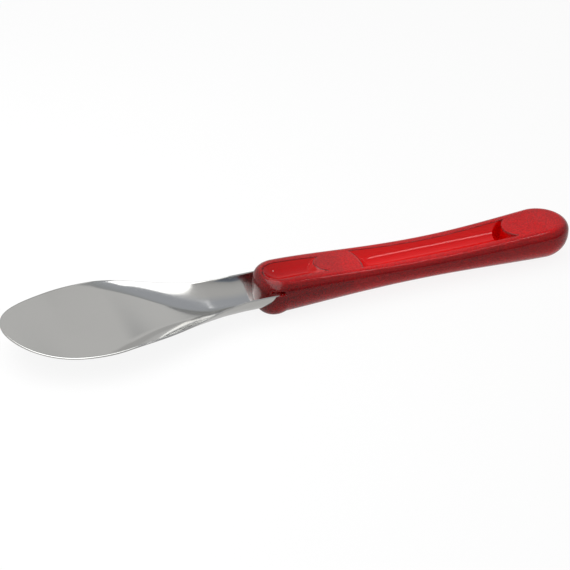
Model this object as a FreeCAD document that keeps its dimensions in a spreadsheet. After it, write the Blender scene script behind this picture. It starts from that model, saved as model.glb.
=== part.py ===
"""Gelato spatula: a stamped steel blade whose neck is pressed into a gutter, held in a moulded handle.

X runs from the blade's tip to the handle's butt, Y across, Z up. Lengths are in millimetres.
The origin is on the table, below the middle of the whole length. The spatula rests on two small
flats under the handle, one below its round nose and one below its butt, with the blade in the air.
"""

import FreeCAD, Part
import math
import os

import Sketcher
from FreeCAD import Placement, Rotation, Vector

# The driving dimensions: alias, value and what it measures

DIMENSIONS = [
    # Along the spatula
    ("blade_reach", 122.0, "blade tip to the centre of the handle's round nose"),
    ("grip_length", 125.0, "centre of the round nose to the centre of the round butt"),
    # The blade's sheet and its flat front
    ("sheet_thickness", 0.8, "steel sheet"),
    ("blade_width", 58.8, "widest part of the blade"),
    ("blade_nose", 39.0, "tip to the widest place"),
    ("tip_rise", 4.0, "how far the tip bends up above the flat"),
    # The neck, where the flat is pressed into a gutter
    ("flare_length", 60.0, "widest place to where the blank is narrowest"),
    ("fold_lead", 12.5, "start of the folds to the widest place, nearer the tip"),
    ("fold_length", 69.0, "start of the folds to where they meet in the middle"),
    ("bend_length", 77.0, "start of the folds to where the sides are fully turned up"),
    ("flare_radius", 105.0, "bend of the sides where they start to turn up"),
    ("dip_start", 7.0, "widest place to where the floor starts to go down"),
    ("dip_length", 46.0, "length of the floor's slope"),
    ("floor_dip", 8.9, "height of the flat above the gutter's floor"),
    # The gutter and the tang
    ("gutter_radius", 11.7, "middle of the sheet, in section"),
    ("gutter_angle", 78.0, "each side, from the lowest line to the edge"),
    ("gutter_height", 3.0, "table to the middle of the sheet at the lowest line"),
    ("tang_depth", 30.0, "centre of the nose to the end of the tang"),
    ("slot_gap", 0.1, "between the tang and the handle's slot, all round"),
    # The handle's five sections, from nose to butt
    ("waist_place", 63.0, "centre of the nose to the waist"),
    ("nose_width", 26.3, "at the centre of the round nose"),
    ("fore_width", 25.1, "half way from the nose to the waist"),
    ("waist_width", 23.9, "at the waist"),
    ("aft_width", 25.1, "half way from the waist to the butt"),
    ("butt_width", 27.4, "at the centre of the round butt"),
    ("nose_top", 17.3, "above the table"),
    ("fore_top", 15.6, "above the table"),
    ("waist_top", 14.0, "above the table"),
    ("aft_top", 14.4, "above the table"),
    ("butt_top", 16.3, "above the table"),
    ("fore_arch", 1.8, "underside above the table"),
    ("waist_arch", 3.0, "underside above the table"),
    ("aft_arch", 1.9, "underside above the table"),
    ("nose_shoulder", 4.6, "radius of the upper corners"),
    ("fore_shoulder", 3.8, "radius of the upper corners"),
    ("waist_shoulder", 3.2, "radius of the upper corners"),
    ("aft_shoulder", 3.6, "radius of the upper corners"),
    ("butt_shoulder", 4.2, "radius of the upper corners"),
    ("nose_side", 2.0, "straight part of the sides, between the corners"),
    ("grip_side", 0.8, "straight part of the sides, between the corners"),
    ("butt_side", 1.2, "straight part of the sides, between the corners"),
    # The side notches, where the gutter's edges show
    ("notch_height", 1.6, "gutter's edge to the lip above it"),
    ("notch_depth", 3.6, "into the side of the nose"),
    ("notch_length", 11.5, "tip of the nose to the notch's far end"),
    # The hollows in the top, both with a ball-nosed section
    ("hollow_radius", 9.0, "cross curve of both hollows"),
    ("front_floor", 13.9, "table to the lowest line of the front hollow"),
    ("pad_start", 13.8, "centre of the nose to the foot of the thumb pad's front slope"),
    ("pad_end", 41.5, "centre of the nose to the foot of the thumb pad's rear slope"),
    ("pad_nose_radius", 9.0, "foot of the front slope, round in plan"),
    ("pad_tail_radius", 30.0, "foot of the rear slope, round in plan"),
    ("pad_ramp", 1.0, "run of both slopes for each millimetre that they rise"),
    ("trough_floor", 10.9, "table to the lowest line of the long trough"),
    ("disc_start", 18.0, "butt's centre to the front of the raised disc"),
    ("disc_radius", 9.5, "round front of the raised disc"),
    ("pocket_width", 3.4, "crescent pocket in front of the disc"),
    ("pocket_floor", 7.6, "table to the pocket's floor"),
    ("pocket_radius", 7.4, "round front of the crescent pocket"),
]

doc = FreeCAD.newDocument("gelato_spatula")
sheet = doc.addObject("Spreadsheet::Sheet", "dims")
for row, (alias, value, note) in enumerate(DIMENSIONS, start=1):
    sheet.set(f"A{row}", alias)
    sheet.set(f"B{row}", str(value))
    sheet.set(f"C{row}", note)
    sheet.setAlias(f"B{row}", alias)
doc.recompute()


def dim(alias):
    """The value of a driving dimension, read from the sheet."""
    return float(sheet.get(alias))


# Stations along X that both pieces use
overall = dim("blade_reach") + dim("grip_length") + dim("butt_width") / 2
tip_x = -overall / 2
wide_x = tip_x + dim("blade_nose")
fold_x = wide_x - dim("fold_lead")
tang_x = tip_x + dim("blade_reach") + dim("tang_depth")
flat_z = dim("gutter_height") + dim("floor_dip")
gutter_turn = math.radians(dim("gutter_angle"))

TIP = "(-(dims.blade_reach + dims.grip_length + dims.butt_width / 2) / 2)"
NOSE = f"({TIP} + dims.blade_reach)"


# Blade: one stamped sheet

def eased(share):
    """Goes from 0 to 1 as share does, level at both ends: 3 s squared less 2 s cubed."""
    share = min(max(share, 0.0), 1.0)
    return share * share * (3 - 2 * share)


TIGHTENING = 1.5


def neck_point(x, across, lift):
    """A point of the neck. x is along the spatula, across runs from -1 to 1 over the blank's width,
    and lift is how far the point lies above the middle of the sheet, square to it.

    The section is a flat floor with a circular bend on each side. From the start of the folds the
    flat eases to nothing, and the bends tighten with the power 1.5 of the share of the way gone.
    The blank is an ellipse up to the widest place, and then eases to the gutter's width.
    """
    gone = x - wide_x
    gutter_half = dim("gutter_radius") * gutter_turn
    half = dim("blade_width") / 2
    if gone < 0:
        blank = half * math.sqrt(1 - (gone / dim("blade_nose")) ** 2)
    else:
        blank = half + (gutter_half - half) * eased(gone / dim("flare_length"))
    first_half = half * math.sqrt(1 - (dim("fold_lead") / dim("blade_nose")) ** 2)
    flat = first_half * (1 - eased((x - fold_x) / dim("fold_length")))
    tightened = min((x - fold_x) / dim("bend_length"), 1.0) ** TIGHTENING
    curve = (1 - tightened) / dim("flare_radius") + tightened / dim("gutter_radius")
    floor = flat_z - dim("floor_dip") * eased((gone - dim("dip_start")) / dim("dip_length"))
    reach = abs(across) * blank
    side = math.copysign(1.0, across)
    turn = max(reach - flat, 0.0) * curve
    y = min(reach, flat) + math.sin(turn) / curve - lift * math.sin(turn)
    z = floor + (1 - math.cos(turn)) / curve + lift * math.cos(turn)
    return Vector(x, side * y, z)


def neck_face(lift, rows=36, columns=25):
    """One face of the neck and tang, half a sheet above or below its middle."""
    step = (tang_x - fold_x) / (rows - 1)
    grid = [
        [neck_point(fold_x + step * i, 2 * j / (columns - 1) - 1, lift) for j in range(columns)]
        for i in range(rows)
    ]
    surface = Part.BSplineSurface()
    surface.interpolate(grid)
    return surface


def neck_solid():
    """The neck and tang: two faces half a sheet apart, closed by ruled strips along their edges."""
    above = neck_face(dim("sheet_thickness") / 2)
    below = neck_face(-dim("sheet_thickness") / 2)
    first_u, last_u, first_v, last_v = above.bounds()
    borders = [
        (above.uIso(first_u), below.uIso(first_u)),
        (above.uIso(last_u), below.uIso(last_u)),
        (above.vIso(first_v), below.vIso(first_v)),
        (above.vIso(last_v), below.vIso(last_v)),
    ]
    strips = [Part.makeRuledSurface(a.toShape(), b.toShape()) for a, b in borders]
    shell = Part.makeShell([above.toShape(), below.toShape()] + strips)
    shell.sewShape()
    return Part.makeSolid(shell)


neck = doc.addObject("Part::Feature", "neck")
neck.Shape = neck_solid()

# The front of the blade is a slice of a wide drum, which gives the tip its rise, cut to an ellipse
FRONT_LENGTH = "(dims.blade_nose - dims.fold_lead)"
DRUM = f"(({FRONT_LENGTH} ^ 2 + dims.tip_rise ^ 2) / (2 * dims.tip_rise))"
DRUM_MARGIN = 1.0
drum_radius = ((fold_x - tip_x) ** 2 + dim("tip_rise") ** 2) / (2 * dim("tip_rise"))
drum_place = Placement(
    Vector(fold_x, -dim("blade_width") / 2 - DRUM_MARGIN, flat_z + drum_radius),
    Rotation(Vector(0, 0, -1), Vector(-1, 0, 0), Vector(0, 1, 0), "XYZ"),
)
for name, sign in (("drum_outer", "+"), ("drum_inner", "-")):
    drum = doc.addObject("Part::Cylinder", name)
    drum.setExpression("Radius", f"{DRUM} {sign} dims.sheet_thickness / 2")
    drum.setExpression("Height", f"dims.blade_width + {2 * DRUM_MARGIN}")
    drum.setExpression("Angle", f"asin(({FRONT_LENGTH} + {DRUM_MARGIN}) / {DRUM})")
    drum.Placement = drum_place
drum_slice = doc.addObject("Part::Cut", "drum_slice")
drum_slice.Base = doc.drum_outer
drum_slice.Tool = doc.drum_inner

front_outline = doc.addObject("Part::Ellipse", "front_outline")
front_outline.setExpression("MajorRadius", "dims.blade_nose")
front_outline.setExpression("MinorRadius", "dims.blade_width / 2")
front_outline.Placement = Placement(Vector(wide_x, 0, 0), Rotation())
front_prism = doc.addObject("Part::Extrusion", "front_prism")
front_prism.Base = front_outline
front_prism.DirMode = "Custom"
front_prism.Dir = Vector(0, 0, 1)
front_prism.setExpression("LengthFwd", "2 * (dims.gutter_height + dims.floor_dip + dims.tip_rise)")
front_prism.Solid = True
front = doc.addObject("Part::Common", "front")
front.Base = drum_slice
front.Tool = front_prism

blade = doc.addObject("Part::Fuse", "blade_solid")
blade.Base = front
blade.Tool = neck
blade.Label = "blade"


# Handle: one moulding

def bind(sketch, name, constraint, expression):
    """Adds a dimension to a sketch and ties it to the sheet."""
    index = sketch.addConstraint(constraint)
    sketch.renameConstraint(index, name)
    sketch.setExpression(f"Constraints.{name}", expression)


START, END = range(1, 3)
LEVEL_AXIS, UPRIGHT_AXIS = range(-1, -3, -1)
ORIGIN = (LEVEL_AXIS, START)
QUARTER = math.pi / 2


def arc(centre, radius, first, last):
    """An arc of a circle, anticlockwise between two angles in radians."""
    circle = Part.Circle(Vector(*centre, 0), Vector(0, 0, 1), radius)
    return Part.ArcOfCircle(circle, first, last)


def line(start, end):
    """A straight edge of a sketch."""
    return Part.LineSegment(Vector(*start, 0), Vector(*end, 0))


def draw_section(sketch, station, arch, side, whole):
    """Draws the handle's outline across X: level below and above, upright at the sides, with a
    large round corner below and a smaller one above. whole draws both sides, else only the +Y one,
    closed along the middle."""
    half = dim(f"{station}_width") / 2
    top = dim(f"{station}_top")
    low = dim(arch) if arch else 0.0
    shoulder = dim(f"{station}_shoulder")
    keel = top - shoulder - dim(side) - low
    flat, crown = half - keel, half - shoulder
    side_low, side_high = low + keel, top - shoulder
    left = -1.0 if whole else 0.0
    edges = [
        line((left * flat, low), (flat, low)),
        arc((flat, side_low), keel, -QUARTER, 0),
        line((half, side_low), (half, side_high)),
        arc((crown, side_high), shoulder, 0, QUARTER),
        line((crown, top), (left * crown, top)),
    ]
    if whole:
        edges.append(arc((-crown, side_high), shoulder, QUARTER, 2 * QUARTER))
        edges.append(line((-half, side_high), (-half, side_low)))
        edges.append(arc((-flat, side_low), keel, 2 * QUARTER, 3 * QUARTER))
    else:
        edges.append(line((0, top), (0, low)))
    sketch.addGeometry(edges, False)
    rule = Sketcher.Constraint
    smooth = range(8) if whole else range(4)
    sketch.addConstraint([rule("Tangent", i, END, (i + 1) % 8, START) for i in smooth])
    sketch.addConstraint([rule("Vertical", 2), rule("Horizontal", 4)])
    if whole:
        sketch.addConstraint([rule("Equal", 3, 5), rule("Equal", 1, 7), rule("Vertical", 6)])
        sketch.addConstraint(rule("Symmetric", 0, START, 0, END, UPRIGHT_AXIS))
        bind(sketch, "width", rule("DistanceX", 6, START, 2, START, 2 * half), f"dims.{station}_width")
    else:
        sketch.addConstraint(rule("Coincident", 4, END, 5, START))
        sketch.addConstraint(rule("Coincident", 5, END, 0, START))
        sketch.addConstraint(rule("PointOnObject", 5, START, UPRIGHT_AXIS))
        sketch.addConstraint([rule("Vertical", 5), rule("Horizontal", 0)])
        bind(sketch, "width", rule("DistanceX", *ORIGIN, 2, START, half), f"dims.{station}_width / 2")
    if arch:
        bind(sketch, "arch", rule("DistanceY", *ORIGIN, 0, START, low), f"dims.{arch}")
    else:
        sketch.addConstraint(rule("PointOnObject", 0, START, LEVEL_AXIS))
    bind(sketch, "top", rule("DistanceY", *ORIGIN, 4, START, top), f"dims.{station}_top")
    bind(sketch, "shoulder", rule("Radius", 3, shoulder), f"dims.{station}_shoulder")
    bind(sketch, "side", rule("DistanceY", 2, START, 2, END, dim(side)), f"dims.{side}")


def section(body, name, station, place, arch, side, whole=True):
    """A sketch across X on the body's YZ plane, moved along X by an expression."""
    sketch = body.newObject("Sketcher::SketchObject", name)
    plane = next(p for p in body.Origin.OriginFeatures if p.Role == "YZ_Plane")
    sketch.AttachmentSupport = [(plane, "")]
    sketch.MapMode = "FlatFace"
    sketch.setExpression("AttachmentOffset.Base.z", place)
    draw_section(sketch, station, arch, side, whole)
    return sketch


grip = doc.addObject("PartDesign::Body", "grip")
STATIONS = [
    ("nose", NOSE, None, "nose_side"),
    ("fore", f"{NOSE} + dims.waist_place / 2", "fore_arch", "grip_side"),
    ("waist", f"{NOSE} + dims.waist_place", "waist_arch", "grip_side"),
    ("aft", f"{NOSE} + (dims.waist_place + dims.grip_length) / 2", "aft_arch", "grip_side"),
    ("butt", f"{NOSE} + dims.grip_length", None, "butt_side"),
]
sections = [
    section(grip, f"{station}_section", station, place, arch, side)
    for station, place, arch, side in STATIONS
]
bar = grip.newObject("PartDesign::AdditiveLoft", "bar")
bar.Profile = sections[0]
bar.Sections = sections[1:]
doc.recompute()

# The two round ends: half of the end section turned half round its own upright middle line
for station, place, arch, side in (STATIONS[0], STATIONS[-1]):
    half_section = section(grip, f"{station}_half", station, place, arch, side, whole=False)
    end = grip.newObject("PartDesign::Revolution", f"{station}_end")
    end.Profile = half_section
    end.ReferenceAxis = (half_section, ["V_Axis"])
    end.Angle = 180
    end.Reversed = station == "butt"
    doc.recompute()


# Tools that are cut from the moulding

CLEAR = 1.0
ALONG_X = Rotation(Vector(0, 0, -1), Vector(0, 1, 0), Vector(1, 0, 0), "XYZ")


def rod(name, radius, start, end, height):
    """A cylinder along X, from one station to another, with its middle line at a height."""
    tool = doc.addObject("Part::Cylinder", name)
    tool.setExpression("Radius", radius)
    tool.setExpression("Height", f"{end} - {start}")
    tool.Placement = Placement(Vector(), ALONG_X)
    tool.setExpression("Placement.Base.x", start)
    tool.setExpression("Placement.Base.z", height)
    return tool


def post(name, radius, station, foot, head):
    """An upright cylinder at a station, between two heights."""
    tool = doc.addObject("Part::Cylinder", name)
    tool.setExpression("Radius", radius)
    tool.setExpression("Height", f"{head} - {foot}")
    tool.setExpression("Placement.Base.x", station)
    tool.setExpression("Placement.Base.z", foot)
    return tool


CONE_TOP = 0.25


def cone(name, radius, station, foot):
    """An upright cone at a station. Its side is as steep as the thumb pad's slopes, and its top is
    cut off where CONE_TOP of its radius is left."""
    tool = doc.addObject("Part::Cone", name)
    tool.setExpression("Radius1", radius)
    tool.setExpression("Radius2", f"{CONE_TOP} * {radius}")
    tool.setExpression("Height", f"{1 - CONE_TOP} * {radius} / dims.pad_ramp")
    tool.setExpression("Placement.Base.x", station)
    tool.setExpression("Placement.Base.z", foot)
    return tool


def block(name, start, end, left, right, foot, head):
    """A box between two stations, two sides and two heights."""
    tool = doc.addObject("Part::Box", name)
    tool.setExpression("Length", f"{end} - {start}")
    tool.setExpression("Width", f"{right} - {left}")
    tool.setExpression("Height", f"{head} - {foot}")
    tool.setExpression("Placement.Base.x", start)
    tool.setExpression("Placement.Base.y", left)
    tool.setExpression("Placement.Base.z", foot)
    return tool


def boolean(kind, name, base, tool):
    """A Cut or a Common of two objects."""
    result = doc.addObject(f"Part::{kind}", name)
    result.Base = base
    result.Tool = tool
    return result


def fused(name, shapes):
    """One object of several that overlap."""
    result = doc.addObject("Part::MultiFuse", name)
    result.Shapes = shapes
    return result


FRONT = f"({NOSE} - dims.nose_width / 2 - {CLEAR})"
SKY = f"(dims.nose_top + dims.butt_top + {CLEAR})"
WIDE = f"(dims.butt_width + {CLEAR})"

# The slot for the gutter and its tang, a hair wider than the sheet all round
SLOT_END = f"({NOSE} + dims.tang_depth + dims.slot_gap)"
SLOT_TURN = "(dims.gutter_angle + dims.slot_gap / dims.gutter_radius * 180 / pi)"
GUTTER_AXIS = "(dims.gutter_height + dims.gutter_radius)"
slot_turn = gutter_turn + dim("slot_gap") / dim("gutter_radius")
SLOT_HALF = "(dims.sheet_thickness / 2 + dims.slot_gap)"
slot_outer = rod("slot_outer", f"dims.gutter_radius + {SLOT_HALF}", FRONT, SLOT_END, GUTTER_AXIS)
slot_outer.setExpression("Angle", f"2 * {SLOT_TURN}")
slot_outer.Placement = Placement(
    slot_outer.Placement.Base,
    Rotation(Vector(1, 0, 0), -math.degrees(slot_turn)).multiply(ALONG_X),
)
slot_inner = rod("slot_inner", f"dims.gutter_radius - {SLOT_HALF}", FRONT, SLOT_END, GUTTER_AXIS)
slot = boolean("Cut", "slot", slot_outer, slot_inner)

# The side notches: from the gutter's edge up to the lip, with a round inner end
TURN = "cos(dims.gutter_angle * 1deg)"
EDGE = f"({GUTTER_AXIS} - (dims.gutter_radius + dims.sheet_thickness / 2) * {TURN})"
LIP = f"({GUTTER_AXIS} - dims.gutter_radius * {TURN} + dims.notch_height)"
NOTCH_ROUND = f"(({LIP} - {EDGE}) / 2)"
NOTCH_END = f"({NOSE} - dims.nose_width / 2 + dims.notch_length)"
INSIDE = "(dims.nose_width / 2 - dims.notch_depth)"
notches = []
NOTCH_CENTRE = f"({NOTCH_END} - {NOTCH_ROUND})"
for name, left, right in (("right", f"-{WIDE}", f"-{INSIDE}"), ("left", INSIDE, WIDE)):
    notches.append(block(f"{name}_notch", FRONT, NOTCH_CENTRE, left, right, EDGE, LIP))
    bore = doc.addObject("Part::Cylinder", f"{name}_notch_end")
    bore.setExpression("Radius", NOTCH_ROUND)
    bore.setExpression("Height", f"{right} - ({left})")
    bore.Placement = Placement(Vector(), Rotation(Vector(1, 0, 0), -90))
    bore.setExpression("Placement.Base.x", NOTCH_CENTRE)
    bore.setExpression("Placement.Base.y", left)
    bore.setExpression("Placement.Base.z", f"({LIP} + {EDGE}) / 2")
    notches.append(bore)

# The front hollow: ball-nosed at the front, stopped by the thumb pad's front slope
HOLLOW_AXIS = "(dims.front_floor + dims.hollow_radius)"
PAD = f"({NOSE} + dims.pad_start + dims.pad_nose_radius)"
hollow_rod = rod("hollow_rod", "dims.hollow_radius", NOSE, PAD, HOLLOW_AXIS)
hollow_ball = doc.addObject("Part::Sphere", "hollow_ball")
hollow_ball.setExpression("Radius", "dims.hollow_radius")
hollow_ball.setExpression("Placement.Base.x", NOSE)
hollow_ball.setExpression("Placement.Base.z", HOLLOW_AXIS)
pad_nose = cone("pad_nose", "dims.pad_nose_radius", PAD, "dims.front_floor")
front_hollow = boolean("Cut", "front_hollow", fused("hollow_tool", [hollow_rod, hollow_ball]), pad_nose)

# The long trough, from the thumb pad's rear slope to the pocket in front of the disc
TROUGH_AXIS = "(dims.trough_floor + dims.hollow_radius)"
TAIL = f"({NOSE} + dims.pad_end - dims.pad_tail_radius)"
DISC = f"({NOSE} + dims.grip_length - dims.disc_start + dims.disc_radius)"
trough_rod = rod("trough_rod", "dims.hollow_radius", TAIL, DISC, TROUGH_AXIS)
pad_tail = cone("pad_tail", "dims.pad_tail_radius", TAIL, "dims.trough_floor")
disc = post("disc", "dims.disc_radius", DISC, "0", SKY)
trough = boolean("Cut", "trough", trough_rod, fused("trough_stops", [pad_tail, disc]))

# The crescent pocket in front of the disc
POCKET = f"({DISC} - dims.disc_radius - dims.pocket_width + dims.pocket_radius)"
pocket_post = post("pocket_post", "dims.pocket_radius", POCKET, "dims.pocket_floor", SKY)
crescent = boolean("Cut", "crescent", pocket_post, disc)

handle = doc.addObject("Part::Cut", "handle_solid")
handle.Base = grip
handle.Tool = fused("hollows", [slot, *notches, front_hollow, trough, crescent])
handle.Label = "handle"
doc.recompute()

# Checks, then one file for each piece

broken = [item.Name for item in doc.Objects if {"Invalid", "Error"} & set(item.State)]
if broken:
    raise RuntimeError(f"failed objects: {broken}")
pieces = [blade, handle]
for piece in pieces:
    if piece.Shape.isNull() or not piece.Shape.isValid() or len(piece.Shape.Solids) != 1:
        raise RuntimeError(f"{piece.Label} is not one valid solid")

os.makedirs("parts", exist_ok=True)
for piece in pieces:
    piece.Shape.exportStep(f"parts/{piece.Label}.step")
    print(piece.Label, round(piece.Shape.Volume / 1000, 2), "cm3")
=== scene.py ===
"""An ice cream spatula: a stamped steel blade in a moulded handle of clear red plastic.

It lies on a white table with its hollow side up. X runs from the blade's tip to the handle's butt,
Y across and Z up, in metres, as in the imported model.
"""

import math

import bpy
import numpy as np
from mathutils import Matrix, Vector


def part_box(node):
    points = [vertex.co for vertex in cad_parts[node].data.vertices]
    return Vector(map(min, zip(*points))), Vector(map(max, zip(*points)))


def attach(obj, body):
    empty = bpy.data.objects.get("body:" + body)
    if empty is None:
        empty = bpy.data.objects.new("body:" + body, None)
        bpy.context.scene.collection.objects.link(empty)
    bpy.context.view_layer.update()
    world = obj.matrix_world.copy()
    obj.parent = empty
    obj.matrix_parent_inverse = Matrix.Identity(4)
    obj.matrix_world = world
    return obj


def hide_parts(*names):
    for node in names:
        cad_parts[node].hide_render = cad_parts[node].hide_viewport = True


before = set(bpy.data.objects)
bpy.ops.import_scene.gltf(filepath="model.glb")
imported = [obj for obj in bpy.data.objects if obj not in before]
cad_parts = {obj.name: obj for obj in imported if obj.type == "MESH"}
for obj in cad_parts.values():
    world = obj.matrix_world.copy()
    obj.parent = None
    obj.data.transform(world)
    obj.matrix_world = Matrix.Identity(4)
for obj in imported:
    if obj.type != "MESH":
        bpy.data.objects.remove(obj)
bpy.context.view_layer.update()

# Camera and studio. The camera stands in front of the spatula's side, a little to the left of its
# middle and above it. The table is white, and the light comes from all round and from soft boxes
# overhead, one of which shows in the neck.
AZIMUTH, ELEVATION, ROLL = math.radians(22.17), math.radians(30.81), math.radians(0.19)
DISTANCE = 0.9
TARGET = Vector((-0.00035, 0.0, 0.0101))
SENSOR_WIDTH, LENS = 36.0, 132.1
SHIFT = (-0.0191, -0.0065)

away = Vector((-math.sin(AZIMUTH), -math.cos(AZIMUTH), math.tan(ELEVATION))).normalized()
level = Vector((math.cos(AZIMUTH), -math.sin(AZIMUTH), 0.0))
upright = away.cross(level)
right = level * math.cos(ROLL) + upright * math.sin(ROLL)
up = upright * math.cos(ROLL) - level * math.sin(ROLL)
lens = bpy.data.cameras.new("camera")
lens.sensor_width = SENSOR_WIDTH
lens.lens = LENS
lens.shift_x, lens.shift_y = SHIFT
camera = bpy.data.objects.new("camera", lens)
turned = Matrix((right, up, away)).transposed().to_4x4()
camera.matrix_world = Matrix.Translation(TARGET + away * DISTANCE) @ turned
bpy.context.scene.collection.objects.link(camera)
bpy.context.scene.camera = camera
bpy.context.scene.view_settings.view_transform = "Standard"


class Nodes:
    """Short hands for building a node tree: add a node, set its inputs, and join sockets."""

    def __init__(self, tree):
        self.tree = tree
        tree.nodes.clear()

    def add(self, kind, inputs=None, **settings):
        """Adds a node. inputs maps a socket's name or number to a value or to another socket."""
        node = self.tree.nodes.new(kind)
        for name, value in settings.items():
            setattr(node, name, value)
        for key, value in (inputs or {}).items():
            if isinstance(value, bpy.types.NodeSocket):
                self.tree.links.new(value, node.inputs[key])
            else:
                node.inputs[key].default_value = value
        return node

    def math(self, operation, *values):
        """One Math node's result."""
        return self.add("ShaderNodeMath", dict(enumerate(values)), operation=operation).outputs[0]

    def blend(self, factor, first, second):
        """A mix of two colours: the first at factor 0, the second at factor 1."""
        return self.add("ShaderNodeMix", {0: factor, 6: first, 7: second}, data_type="RGBA").outputs[2]

    def mapped(self, value, source=(0.0, 1.0), target=(0.0, 1.0)):
        """A value's place in the source range, carried to the target range and held within it."""
        ends = dict(enumerate((*source, *target), 1))
        return self.add("ShaderNodeMapRange", {0: value, **ends}).outputs[0]

    def ramp(self, factor, stops):
        """A colour ramp. Each stop is a place and a grey value or a colour."""
        node = self.add("ShaderNodeValToRGB", {0: factor})
        elements = node.color_ramp.elements
        while len(elements) < len(stops):
            elements.new(0.5)
        for element, (place, value) in zip(elements, stops):
            element.position = place
            element.color = (*value, 1.0) if isinstance(value, tuple) else (value, value, value, 1.0)
        return node.outputs[0]


# What the metal and the plastic see of the room. The camera's side is dim near the horizon, and goes
# by the height of the direction, from 0 straight down to 1 straight up. The far side is a lit
# backdrop with grey bands that slope: there the direction's part along X counts too.
BACKDROP = [
    (0.0, 0.6), (0.6, 0.6), (0.725, 0.6), (0.75, 0.51), (0.838, 0.51), (0.849, 0.7), (0.889, 0.7),
    (0.90, (0.36, 0.37, 0.38)), (0.94, (0.42, 0.44, 0.46)), (1.0, (0.46, 0.48, 0.52)),
]
NEAR_SIDE = [
    (0.0, 0.62), (0.49, 0.55), (0.52, (0.12, 0.14, 0.17)), (0.61, (0.17, 0.19, 0.23)),
    (0.645, (0.26, 0.28, 0.32)), (0.665, 0.42), (0.75, 0.52), (0.88, 0.58), (1.0, 0.58),
]
SLANT = 0.885
NEAR_TO_FAR = (-0.35, 0.15)
ROOM_LIGHT = 0.6
WHITE = (1.0, 1.0, 1.0, 1.0)

world = bpy.data.worlds.new("studio")
bpy.context.scene.world = world
world.use_nodes = True
sky = Nodes(world.node_tree)
direction = sky.add("ShaderNodeSeparateXYZ", {0: sky.add("ShaderNodeTexCoord").outputs["Generated"]})
height = sky.math("MULTIPLY_ADD", direction.outputs["Z"], 0.5, 0.5)
slanted = sky.math("MULTIPLY_ADD", direction.outputs["X"], SLANT / 2, height)
side = sky.mapped(direction.outputs["Y"], NEAR_TO_FAR)
room = sky.blend(side, sky.ramp(height, NEAR_SIDE), sky.ramp(slanted, BACKDROP))
rays = sky.add("ShaderNodeLightPath")
seen = sky.math("MAXIMUM", rays.outputs["Is Glossy Ray"], rays.outputs["Is Transmission Ray"])
dim_light = sky.add("ShaderNodeBackground", {0: WHITE, 1: ROOM_LIGHT})
room_light = sky.add("ShaderNodeBackground", {0: room, 1: 1.0})
plain_white = sky.add("ShaderNodeBackground", {0: WHITE, 1: 1.0})
lit = sky.add("ShaderNodeMixShader", {0: seen, 1: dim_light.outputs[0], 2: room_light.outputs[0]})
in_view = rays.outputs["Is Camera Ray"]
shown = sky.add("ShaderNodeMixShader", {0: in_view, 1: lit.outputs[0], 2: plain_white.outputs[0]})
sky.add("ShaderNodeOutputWorld", {0: shown.outputs[0]})

# A large soft box over the blade, whose far half is turned a little, and a small one to the right,
# whose mirror image is the bright line in the trough. Each spans so far to the right and away.
BOX_TURN = AZIMUTH + math.radians(3.0)
BOX_HEIGHT, BOX_RIGHT, BOX_AWAY, BOX_GLOW = 0.30, (-0.32, -0.009), (-0.38, 0.03), 1.9
FAR_TURN = BOX_TURN - math.radians(10.0)
FAR_RIGHT, FAR_AWAY = (-0.32, -0.0037), (0.031, 0.235)
SMALL_HEIGHT, SMALL_RIGHT, SMALL_AWAY, SMALL_GLOW = 0.60, (0.262, 0.368), (0.02, 0.09), 5.0


def soft_light(name, glow, turn, height, right_span, away_span):
    """A level rectangle at a height, turned about Z, that shines down.

    Its power is pi times its area times its glow.
    """
    light = bpy.data.lights.new(name, "AREA")
    light.shape = "RECTANGLE"
    light.size, light.size_y = right_span[1] - right_span[0], away_span[1] - away_span[0]
    light.energy = glow * math.pi * light.size * light.size_y
    lamp = bpy.data.objects.new(name, light)
    middle = Vector((sum(right_span) / 2, sum(away_span) / 2, height))
    lamp.matrix_world = Matrix.Rotation(-turn, 4, "Z") @ Matrix.Translation(middle)
    bpy.context.scene.collection.objects.link(lamp)


soft_light("soft_box", BOX_GLOW, BOX_TURN, BOX_HEIGHT, BOX_RIGHT, BOX_AWAY)
soft_light("soft_box_far", BOX_GLOW, FAR_TURN, BOX_HEIGHT, FAR_RIGHT, FAR_AWAY)
soft_light("small_box", SMALL_GLOW, 0.0, SMALL_HEIGHT, SMALL_RIGHT, SMALL_AWAY)

# The table: white paper. In view most of it is plain white, and a small share shows the shadow.
# What mirrors it sees an even glow.
TABLE_HALF = 6.0
TABLE_WHITE, TABLE_SPREAD, PAPER_GRAIN = 0.9, 0.01, 400.0
SHADOW_SHARE = 0.12
TABLE_SEEN = 0.72
table = bpy.data.meshes.new("table")
corners = np.array([(-1, -1, 0), (1, -1, 0), (1, 1, 0), (-1, 1, 0)]) * TABLE_HALF
table.from_pydata(corners.tolist(), [], [(0, 1, 2, 3)])
table_object = bpy.data.objects.new("table", table)
bpy.context.scene.collection.objects.link(table_object)
paper = bpy.data.materials.new("white_paper")
paper.use_nodes = True
sheet = Nodes(paper.node_tree)
place = sheet.add("ShaderNodeTexCoord").outputs["Object"]
grain = sheet.add("ShaderNodeTexNoise", {"Vector": place, "Scale": PAPER_GRAIN}).outputs[0]
tone = sheet.ramp(grain, [(0.3, TABLE_WHITE - TABLE_SPREAD), (0.7, TABLE_WHITE + TABLE_SPREAD)])
matt = sheet.add("ShaderNodeBsdfDiffuse", {0: tone})
glow = sheet.add("ShaderNodeEmission", {0: WHITE, 1: 1.0})
rays = sheet.add("ShaderNodeLightPath")
share = sheet.math("MULTIPLY", rays.outputs["Is Camera Ray"], 1.0 - SHADOW_SHARE)
mirrored = sheet.math("MAXIMUM", rays.outputs["Is Glossy Ray"], rays.outputs["Is Transmission Ray"])
soft_glow = sheet.add("ShaderNodeEmission", {0: tone, 1: TABLE_SEEN})
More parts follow.
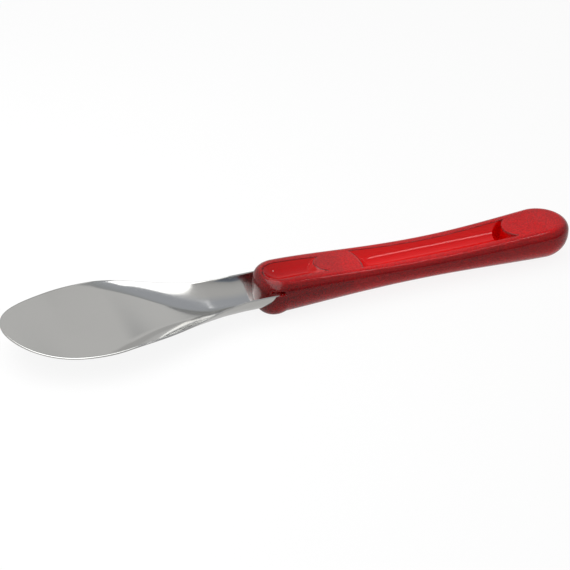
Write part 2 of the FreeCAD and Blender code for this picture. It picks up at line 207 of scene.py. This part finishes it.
seen_mix = sheet.add("ShaderNodeMixShader", {0: mirrored, 1: matt.outputs[0], 2: soft_glow.outputs[0]})
paper_mix = sheet.add("ShaderNodeMixShader", {0: share, 1: seen_mix.outputs[0], 2: glow.outputs[0]})
sheet.add("ShaderNodeOutputMaterial", {0: paper_mix.outputs[0]})
table.materials.append(paper)

# Blade: one sheet of stainless steel, 0.8 mm, stamped to an oval front and pressed into a gutter at
# the neck. The gutter runs on inside the handle as the tang. Ground along its length, then polished.
SHEET = 0.0008
BLADE_WIDTH = 0.0588
WIDEST = 0.039
TIP_RISE = 0.0040
FLARE_LENGTH = 0.060
FOLD_LEAD, FOLD_LENGTH, BEND_LENGTH, FLARE_RADIUS = 0.0125, 0.069, 0.077, 0.105
TIGHTENING = 1.5
DIP_START, DIP_LENGTH, FLOOR_DIP = 0.007, 0.046, 0.0089
GUTTER_RADIUS, GUTTER_TURN, GUTTER_FLOOR = 0.0117, math.radians(78.0), 0.0030
EDGE_ROUND = 0.0005
STEEL_COLOUR = (0.60, 0.595, 0.575, 1.0)
STEEL_DARKER = (0.576, 0.5712, 0.552, 1.0)
GRIND_STRETCH = (14.0, 900.0, 900.0)
STEEL_ROUGH = (0.08, 0.13)

blade_low, blade_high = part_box("blade")
wide_x = blade_low.x + WIDEST
fold_x = wide_x - FOLD_LEAD
blade_half = BLADE_WIDTH / 2
flat_z = GUTTER_FLOOR + FLOOR_DIP
drum_radius = ((WIDEST - FOLD_LEAD) ** 2 + TIP_RISE ** 2) / (2 * TIP_RISE)


def eased(share):
    """Goes from 0 to 1 as share does, level at both ends: three s squared less two s cubed."""
    share = np.clip(share, 0.0, 1.0)
    return share * share * (3 - 2 * share)


def blank_half(x):
    """Half the flat blank's width at x: an ellipse up to the widest place, then eased to the gutter."""
    front = blade_half * np.sqrt(np.clip(1 - (np.minimum(x - wide_x, 0) / WIDEST) ** 2, 0, 1))
    neck = blade_half + (GUTTER_RADIUS * GUTTER_TURN - blade_half) * eased((x - wide_x) / FLARE_LENGTH)
    return np.where(x < wide_x, front, neck)


def sheet_point(x, reach, lift):
    """A point of the sheet. reach is its distance from the middle along the blank, lift its height
    above the middle of the sheet, square to it.

    The front is a slice of a drum whose radius gives the tip its rise. From the start of the folds
    the section is a flat with a circular bend on each side: the flat eases to nothing, the bend's
    curvature grows with the power 1.5 of the share of the way gone, and the floor eases down.
    """
    gone = x - fold_x
    fall = np.arcsin(np.clip(-gone / drum_radius, 0, 1))
    first_half = blade_half * math.sqrt(1 - (FOLD_LEAD / WIDEST) ** 2)
    flat = np.where(gone > 0, first_half * (1 - eased(gone / FOLD_LENGTH)), blade_half)
    tightened = np.clip(gone / BEND_LENGTH, 0.0, 1.0) ** TIGHTENING
    curve = (1 - tightened) / FLARE_RADIUS + tightened / GUTTER_RADIUS
    floor = flat_z - FLOOR_DIP * eased((gone - FOLD_LEAD - DIP_START) / DIP_LENGTH)
    floor = floor + drum_radius * (1 - np.cos(fall))
    turn = np.maximum(np.abs(reach) - flat, 0.0) * curve
    y = np.minimum(np.abs(reach), flat) + np.sin(turn) / curve - lift * np.sin(turn)
    z = floor + (1 - np.cos(turn)) / curve + lift * np.cos(turn) * np.cos(fall)
    along = np.maximum(x + lift * np.sin(fall), blade_low.x)
    return np.stack([along, np.copysign(y, reach), z], axis=-1)


def grid_faces(rows, columns):
    """Quads of a grid whose columns close round."""
    here = np.arange(rows - 1)[:, None] * columns + np.arange(columns)[None, :]
    after = np.arange(rows - 1)[:, None] * columns + (np.arange(columns)[None, :] + 1) % columns
    return np.stack([here, after, after + columns, here + columns], axis=-1).reshape(-1, 4)


def mesh_piece(name, points, faces, merge=1e-7):
    """A smooth, closed mesh object from points and quads. Points that coincide are made one, and a
    quad that has two such corners becomes a triangle. It also gives each kept point's number."""
    _, first, where = np.unique(
        np.round(points / merge).astype(np.int64), axis=0, return_index=True, return_inverse=True
    )
    faces = where.reshape(-1)[faces]
    mesh = bpy.data.meshes.new(name)
    same = faces == np.roll(faces, 1, axis=1)
    quads = faces[~same.any(axis=1)]
    halved = same.sum(axis=1) == 1
    triangles = faces[halved][~same[halved]].reshape(-1, 3)
    mesh.from_pydata(points[first].tolist(), [], quads.tolist() + triangles.tolist())
    mesh.validate()
    mesh.shade_smooth()
    piece = bpy.data.objects.new(name, mesh)
    bpy.context.scene.collection.objects.link(piece)
    return piece, first


# The sheet's skin is a grid: stations along X, and a loop round the section at each. It goes over
# the upper face, round the near edge, back along the lower face and round the far edge.
STEP = 0.0008
FRONT_STEPS, FACE_STEPS, EDGE_STEPS = 40, 81, 7
front_turn = np.linspace(math.pi / 2, math.asin(FOLD_LEAD / WIDEST), FRONT_STEPS)
front_x = wide_x - WIDEST * np.sin(front_turn)
neck_x = np.linspace(fold_x, blade_high.x, round((blade_high.x - fold_x) / STEP))
stations = np.concatenate([front_x, neck_x[1:]])
face_share = np.linspace(1, -1, FACE_STEPS)
edge_turn = np.linspace(math.pi / 2, -math.pi / 2, EDGE_STEPS + 2)[1:-1]
side_share = np.ones(EDGE_STEPS)
level_share = np.ones(FACE_STEPS)
loop_share = np.concatenate([face_share, -side_share, face_share[::-1], side_share])
loop_out = np.concatenate([0 * face_share, np.cos(edge_turn), 0 * face_share, np.cos(edge_turn)])
loop_lift = np.concatenate([level_share, np.sin(edge_turn), -level_share, -np.sin(edge_turn)]) * SHEET / 2
x = stations[:, None] + 0 * loop_share[None, :]
edge = np.minimum(EDGE_ROUND, blank_half(x))
reach = loop_share * (blank_half(x) - edge + loop_out * edge)
points = sheet_point(x, reach, loop_lift)
last = sheet_point(x[-1:], reach[-1:], 0 * loop_lift)
points = np.concatenate([points, last])
steel_blade, _ = mesh_piece("steel_blade", points.reshape(-1, 3), grid_faces(*points.shape[:2]))

steel = bpy.data.materials.new("ground_steel")
steel.use_nodes = True
tree = Nodes(steel.node_tree)
place = tree.add("ShaderNodeTexCoord").outputs["Object"]
along = tree.add("ShaderNodeMapping", {"Vector": place, "Scale": GRIND_STRETCH}).outputs[0]
grind = tree.add("ShaderNodeTexNoise", {"Vector": along, "Scale": 3.0, "Detail": 4.0}).outputs[0]
cloud = tree.add("ShaderNodeTexNoise", {"Vector": place, "Scale": 45.0, "Detail": 3.0}).outputs[0]
colour = tree.blend(cloud, STEEL_DARKER, STEEL_COLOUR)
rough = tree.mapped(grind, target=STEEL_ROUGH)
relief = tree.add("ShaderNodeBump", {"Height": grind, "Strength": 0.02, "Distance": 0.0001}).outputs[0]
metal = tree.add(
    "ShaderNodeBsdfPrincipled", {"Base Color": colour, "Metallic": 1.0, "Roughness": rough, "Normal": relief}
)
tree.add("ShaderNodeOutputMaterial", {0: metal.outputs[0]})
steel_blade.data.materials.append(steel)
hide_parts("blade")
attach(steel_blade, "root")

# Handle: one moulding of clear red plastic, moulded round the tang. Its skin is stippled by the mould
# on the sides, the rims, the thumb pad and the butt, and polished in the hollows.
NOSE_HALF = 0.01315
SECTION_X = np.array([0.0, 0.0315, 0.063, 0.094, 0.125])
SECTION = {
    "half": [0.01315, 0.01255, 0.01195, 0.01255, 0.0137],
    "top": [0.0173, 0.0156, 0.0140, 0.0144, 0.0163],
    "base": [0.0, 0.0018, 0.0030, 0.0019, 0.0],
    "shoulder": [0.0046, 0.0038, 0.0032, 0.0036, 0.0042],
    "side": [0.0020, 0.0008, 0.0008, 0.0008, 0.0012],
}
HOLLOW_RADIUS = 0.0090
FRONT_FLOOR, TROUGH_FLOOR = 0.0139, 0.0109
PAD_FRONT, PAD_FRONT_RADIUS, PAD_BACK, PAD_BACK_RADIUS = 0.0138, 0.009, 0.0415, 0.030
PAD_RAMP = 1.0
DISC_BACK, DISC_RADIUS = 0.0180, 0.0095
POCKET_WIDTH, POCKET_FLOOR, POCKET_RADIUS = 0.0034, 0.0076, 0.0074
WALL = 0.0009
RIM_ROUND, POLISH_DEPTH = 0.0005, 0.0004
NOTCH_EDGE, NOTCH_LIP, NOTCH_INSIDE = 0.01218, 0.01387, 0.00955
NOTCH_LENGTH, NOTCH_BLEND = 0.0115, 0.00025
NOSE_DEPTH, NOSE_POWER, NOSE_SHOULDER, KEEL_POWER = 0.0106, 2.4, 0.0022, 0.4

handle_low, handle_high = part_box("handle")
nose_x = handle_low.x + NOSE_HALF
butt_x = handle_high.x - SECTION["half"][-1]
curves = {name: np.polyfit(SECTION_X, values, len(SECTION_X) - 1) for name, values in SECTION.items()}


def sizes_at(x):
    """The section's sizes at x: each is a curve of the fourth degree through its five values."""
    along = np.clip(x, nose_x, butt_x) - nose_x
    return {name: np.polyval(curve, along) for name, curve in curves.items()}


def smooth_least(a, b, blend):
    """The smaller of two heights, with a round of about the size of blend where they meet."""
    mix = np.clip(0.5 + 0.5 * (b - a) / blend, 0, 1)
    return b + (a - b) * mix - blend * mix * (1 - mix)


def smooth_most(a, b, blend):
    """The larger of two heights, with the same round."""
    return -smooth_least(-a, -b, blend)


def inside(distance, width):
    """1 inside a boundary and 0 outside, eased over a width. distance is positive inside."""
    return eased(0.5 + distance / width)


def carved(x, y, top):
    """The height of the handle's upper face at x, y, and how polished it is there.

    The front hollow is a trough of circular section with a ball end towards the nose. The long
    trough has the same section. The thumb pad between them is a cut-off cone at each end. The
    pocket is a round hole, as far as it lies in front of the butt's raised disc.
    """
    ahead = np.minimum(x - nose_x, 0)
    ball = np.sqrt(np.clip(HOLLOW_RADIUS ** 2 - y ** 2 - ahead ** 2, 0, None))
    front = FRONT_FLOOR + HOLLOW_RADIUS - ball
    rod = np.sqrt(np.clip(HOLLOW_RADIUS ** 2 - y ** 2, 0, None))
    trough = TROUGH_FLOOR + HOLLOW_RADIUS - rod
    pad_x = nose_x + PAD_FRONT + PAD_FRONT_RADIUS
    to_pad = np.where(x < pad_x, np.hypot(x - pad_x, y) - PAD_FRONT_RADIUS, -PAD_FRONT_RADIUS)
    front = smooth_most(front, FRONT_FLOOR - to_pad / PAD_RAMP, RIM_ROUND)
    tail_x = nose_x + PAD_BACK - PAD_BACK_RADIUS
    from_pad = np.where(x > tail_x, np.hypot(x - tail_x, y) - PAD_BACK_RADIUS, -PAD_BACK_RADIUS)
    trough = smooth_most(trough, TROUGH_FLOOR - from_pad / PAD_RAMP, RIM_ROUND)
    disc_x = butt_x - DISC_BACK + DISC_RADIUS
    to_disc = np.where(x < disc_x, np.hypot(x - disc_x, y) - DISC_RADIUS, -DISC_RADIUS)
    pocket_x = butt_x - DISC_BACK - POCKET_WIDTH + POCKET_RADIUS
    pocket = inside(POCKET_RADIUS - np.hypot(x - pocket_x, y), WALL) * inside(to_disc, WALL)
    height = smooth_least(top, front, RIM_ROUND)
    low_trough = smooth_least(top, trough, RIM_ROUND)
    height = height + (low_trough - height) * inside(to_disc, WALL) * (x > pad_x)
    height = height + (POCKET_FLOOR - height) * pocket
    polish = eased((top - height) / POLISH_DEPTH)
    return height, polish


def notch_depth(x, y, z):
    """The share of the notch at a point: it runs in from the front as far as its round end."""
    middle, half_height = (NOTCH_EDGE + NOTCH_LIP) / 2, (NOTCH_LIP - NOTCH_EDGE) / 2
    end_x = handle_low.x + NOTCH_LENGTH - half_height
    past = np.maximum(x - end_x, 0)
    return inside(half_height - np.hypot(past, z - middle), NOTCH_BLEND)


# The half section from the top's middle round to the base's middle, in shares of its parts
TOP_STEPS, SHOULDER_STEPS, SIDE_STEPS, KEEL_STEPS, BASE_STEPS = 40, 12, 22, 16, 5
top_share = np.linspace(0, 1, TOP_STEPS)
round_share = np.linspace(0, 1, SHOULDER_STEPS)[1:]
side_share = np.linspace(0, 1, SIDE_STEPS)[1:]
keel_share = np.linspace(0, 1, KEEL_STEPS)[1:]
base_share = np.linspace(0, 1, BASE_STEPS)[1:]


def half_section(size):
    """Distance from the upright middle line, and height, of the half section at each station.

    It goes out along the top, down a quarter round and the upright side, in along a keel that is a
    quarter ellipse, with its sine and cosine raised to a power, and along the flat base.
    """
    size = {name: value[:, None] for name, value in size.items()}
    keel = size["top"] - size["shoulder"] - size["side"] - size["base"]
    crown = size["half"] - size["shoulder"]
    turn = round_share * math.pi / 2
    under = keel_share * math.pi / 2
    flat = size["half"] - keel
    out = [
        crown * top_share,
        crown + size["shoulder"] * np.sin(turn),
        size["half"] + 0 * side_share,
        flat + keel * np.cos(under) ** size["power"],
        flat * (1 - base_share),
    ]
    height = [
        size["top"] + 0 * top_share,
        size["top"] - size["shoulder"] * (1 - np.cos(turn)),
        size["top"] - size["shoulder"] - size["side"] * side_share,
        size["base"] + keel * (1 - np.sin(under) ** size["power"]),
        size["base"] + 0 * base_share,
    ]
    return np.concatenate(out, axis=1), np.concatenate(height, axis=1)


def finer(start, end, near, far, coarse=0.0007, fine=0.0002):
    """Stations from start to end, close together between near and far."""
    spans = [(start, near, coarse), (near, far, fine), (far, end, coarse)]
    counts = [max(round((b - a) / step), 1) for a, b, step in spans]
    return np.concatenate([np.linspace(a, b, n, endpoint=False) for (a, b, _), n in zip(spans, counts)])


# Stations run along the far side, round the butt, back along the near side and round the nose. They
# are close together round each end of the thumb pad, and round the pocket.
PAD_SPAN, TAIL_SPAN, POCKET_SPAN = (0.001, 0.005), (0.002, 0.001), (0.001, 0.006)
PAST_MIDDLE = 0.012
END_STEPS = 61
LEAST = 1e-6
pad_front = nose_x + PAD_FRONT
pad_back = nose_x + PAD_BACK
disc_front = butt_x - DISC_BACK
pad_middle = (nose_x + pad_back) / 2 + PAST_MIDDLE
trough_middle = (pad_back + disc_front) / 2
run = np.concatenate([
    finer(nose_x, pad_middle, pad_front - PAD_SPAN[0], pad_front + PAD_SPAN[1]),
    finer(pad_middle, trough_middle, pad_back - TAIL_SPAN[0], pad_back + TAIL_SPAN[1]),
    finer(trough_middle, butt_x, disc_front - POCKET_WIDTH - POCKET_SPAN[0], disc_front + POCKET_SPAN[1]),
    [butt_x],
])
half_turn = np.linspace(0, math.pi, END_STEPS)[1:-1]
quarter = math.pi / 2
spine = np.concatenate([run, 0 * half_turn + butt_x, run[::-1], 0 * half_turn + nose_x])
heading = np.concatenate([0 * run + quarter, quarter - half_turn, 0 * run - quarter, -quarter - half_turn])


def on_plan(out):
    """x and y of points at a distance out from the spine, in the direction of its heading there."""
    return spine[:, None] + out * np.cos(heading)[:, None], out * np.sin(heading)[:, None]


# The nose's plan is a rounded rectangle instead of a half circle: the power of the distance ahead
# over its depth and that of the distance aside over the half width add up to one. Towards its front
# the keel's power falls from 1 and the shoulder grows.
size = sizes_at(spine)
frontward = np.clip(-np.cos(heading), 0, 1)
size["power"] = 1 - (1 - KEEL_POWER) * frontward
size["shoulder"] = size["shoulder"] + NOSE_SHOULDER * frontward
out, height = half_section(size)
ahead = frontward * NOSE_HALF / NOSE_DEPTH
summed = ahead ** NOSE_POWER + np.abs(np.sin(heading)) ** NOSE_POWER
out = out * np.where(frontward > LEAST, summed ** (-1 / NOSE_POWER), 1.0)[:, None]
x, y = on_plan(out)
upper = np.arange(out.shape[1]) < TOP_STEPS + SHOULDER_STEPS - 1
carved_z, polish = carved(x, y, height)
z = np.where(upper, carved_z, height)
polish = np.where(upper, polish, 0.0)
across = np.abs(np.sin(heading))[:, None]
notch = notch_depth(x, y, z) * (np.abs(y) > NOTCH_INSIDE)
narrow = np.minimum(out, NOTCH_INSIDE / np.maximum(across, LEAST))
out = out + (narrow - out) * notch
x, y = on_plan(out)
points = np.stack([x, y, z], axis=-1).transpose(1, 0, 2)
faces = grid_faces(*points.shape[:2])
red_handle, kept = mesh_piece("red_handle", points.reshape(-1, 3), faces)
polished = red_handle.data.attributes.new("polish", "FLOAT", "POINT")
polished.data.foreach_set("value", polish.T.reshape(-1)[kept].astype(np.float32))

# The stippled skin's red with painted light and shade: from faces that look down (0), with painted light from
# the table, through painted shade on the sides, to faces that look up (1), with painted light on top. The
# polished hollows' red, from their edge (0) inwards, with painted shade at the edge and painted light in the
# middle. Over the steel tang, in front, both are darker with painted shade.
SKIN_RED_AND_PAINTED_SHADE = [
    (0.0, (0.75, 0.002, 0.003)), (0.3, (0.55, 0.002, 0.003)), (0.44, (0.36, 0.001, 0.003)),
    (0.56, (0.27, 0.001, 0.003)), (0.88, (0.42, 0.001, 0.003)), (0.985, (0.84, 0.003, 0.005)),
]
# Painted shade at the hollows' edges and painted light in their middle.
HOLLOW_RED_AND_PAINTED_LIGHT = [(0.0, (0.3, 0.001, 0.002)), (0.5, (0.35, 0.001, 0.002)), (0.9, (0.98, 0.002, 0.002))]
POLISH_EDGE = [(0.0, 0.0), (0.12, 1.0)]
STIPPLE = 1500.0
STIPPLE_SPAN, GRAIN_GLINT_SPAN = (0.4, 0.6), (0.72, 1.14)
TANG_SPAN, TANG_SHADE = (-0.022, 0.03), (0.62, 1.05)
PLASTIC_ROUGH = (0.02, 0.12)
plastic = bpy.data.materials.new("clear_red_plastic")
plastic.use_nodes = True
tree = Nodes(plastic.node_tree)
place = tree.add("ShaderNodeTexCoord").outputs["Object"]
smooth = tree.add("ShaderNodeAttribute", attribute_name="polish").outputs["Fac"]
stipple = tree.add("ShaderNodeTexNoise", {"Vector": place, "Scale": STIPPLE, "Detail": 2.0}).outputs[0]
skin = tree.math("SUBTRACT", 1.0, smooth)
facing = tree.add("ShaderNodeSeparateXYZ", {0: tree.add("ShaderNodeTexCoord").outputs["Normal"]}).outputs["Z"]
upward = tree.mapped(facing, (-1.0, 1.0))
in_hollow = tree.ramp(smooth, POLISH_EDGE)
# The base red carries painted light and shade: by facing on the skin, from edge to middle in the hollows.
tint = tree.blend(in_hollow, tree.ramp(upward, SKIN_RED_AND_PAINTED_SHADE), tree.ramp(smooth, HOLLOW_RED_AND_PAINTED_LIGHT))
rough = tree.mapped(skin, target=PLASTIC_ROUGH)
grain = tree.math("MULTIPLY", stipple, skin)
# Painted glints and painted shade on the stipple's grains: the skin's red is brighter or darker with the
# bump's grains.
painted_grain_glint_and_shade = tree.mapped(stipple, STIPPLE_SPAN, GRAIN_GLINT_SPAN)
painted_grain_glint_and_shade = tree.add("ShaderNodeMix", {0: skin, 2: 1.0, 3: painted_grain_glint_and_shade}).outputs[0]
# Painted shade over the steel tang in front, rising to a little painted light behind it.
along = tree.add("ShaderNodeSeparateXYZ", {0: place}).outputs["X"]
painted_tang_shade = tree.mapped(along, TANG_SPAN, TANG_SHADE)
shade = tree.math("MULTIPLY", painted_grain_glint_and_shade, painted_tang_shade)
tint = tree.add("ShaderNodeVectorMath", {0: tint, "Scale": shade}, operation="SCALE").outputs[0]
relief = tree.add("ShaderNodeBump", {"Height": grain, "Strength": 0.5, "Distance": 0.00012}).outputs[0]
clear = tree.add(
    "ShaderNodeBsdfPrincipled",
    {
        "Base Color": tint, "Roughness": rough, "IOR": 1.52,
        "Transmission Weight": 0.5, "Specular IOR Level": 0.12, "Normal": relief,
    },
)
depth = tree.add("ShaderNodeVolumeAbsorption", {"Color": (0.93, 0.1, 0.12, 1.0), "Density": 150.0})
tree.add("ShaderNodeOutputMaterial", {0: clear.outputs[0], 1: depth.outputs[0]})
red_handle.data.materials.append(plastic)
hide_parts("handle")
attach(red_handle, "root")
